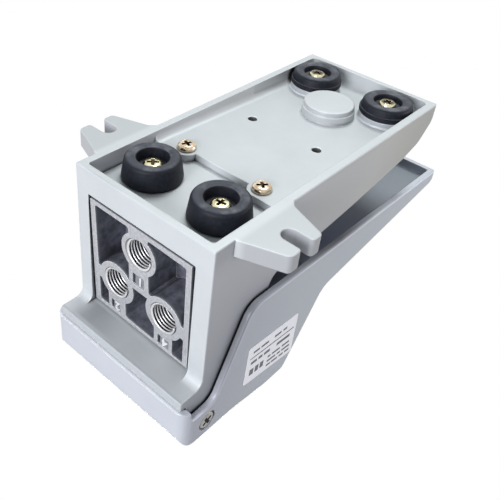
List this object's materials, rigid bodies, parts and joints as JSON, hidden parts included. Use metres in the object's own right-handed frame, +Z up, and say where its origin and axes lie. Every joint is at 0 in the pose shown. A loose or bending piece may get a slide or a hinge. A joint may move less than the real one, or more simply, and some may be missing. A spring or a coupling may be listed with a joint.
{
  "type": "foot pedal air valve",
  "caption": "Die-cast foot valve: hinged pedal over a floor tray on rubber feet, threaded air ports in the rear face and two slotted ears.",
  "frame": {"origin": "on the ground, below the middle of the object's box", "axes": "+Z up, +Y towards the rear face with the air ports, -Y towards the pedal's toe, +X to the right flank that carries the label"},
  "size_m": [0.1046, 0.1774, 0.0966],
  "materials": {
    "casting": "satin silver grey",
    "pedal_casting": "satin silver grey",
    "valve_casting": "machined face, rough cored recesses",
    "foot_rubber": "matt",
    "seal_rubber": "matt",
    "yellow_zinc": "bright",
    "steel": "plain",
    "bronze": "plain"
  },
  "bodies": {
    "housing": {"base_housing": "casting", "valve_body": "valve_casting", "end_plug": "bronze", "end_plug_o_ring": "seal_rubber", "spool_guide_bush": "bronze", "stem_seal": "seal_rubber", "guide_bush_circlip": "steel", "rear_foot_left": "foot_rubber", "rear_foot_right": "foot_rubber", "front_foot_left": "foot_rubber", "front_foot_right": "foot_rubber", "rear_foot_screws": "yellow_zinc", "front_foot_screws": "yellow_zinc", "valve_screws": "yellow_zinc", "pivot_screws": "steel", "spool_return_spring": "steel", "pedal_return_spring": "steel"},
    "pedal": {"pedal": "pedal_casting", "pivot_bushes": "bronze", "pusher_screw": "steel", "pusher_lock_nut": "steel"},
    "spool": {"valve_spool": "valve_casting", "spool_seals": "seal_rubber"}
  },
  "joints": [
    {"name": "pedal_hinge", "type": "hinge", "parent": "housing", "child": "pedal", "pos_m": [0, 0.07545, 0.0851], "axis": [1, 0, 0], "range_deg": [0, 11], "stiffness_Nm_per_rad": 12, "springref_deg": -8.59, "deforming": ["pedal_return_spring"]},
    {"name": "spool_slide", "type": "slide", "parent": "housing", "child": "spool", "axis": [0, 0, 1], "range_m": [-0.0045, 0], "stiffness_N_per_m": 600, "springref_m": 0.004, "deforming": ["spool_return_spring"]}
  ],
  "couplings": [
    {"joint": "spool_slide", "follows": "pedal_hinge", "m_per_rad": -0.0227}
  ]
}
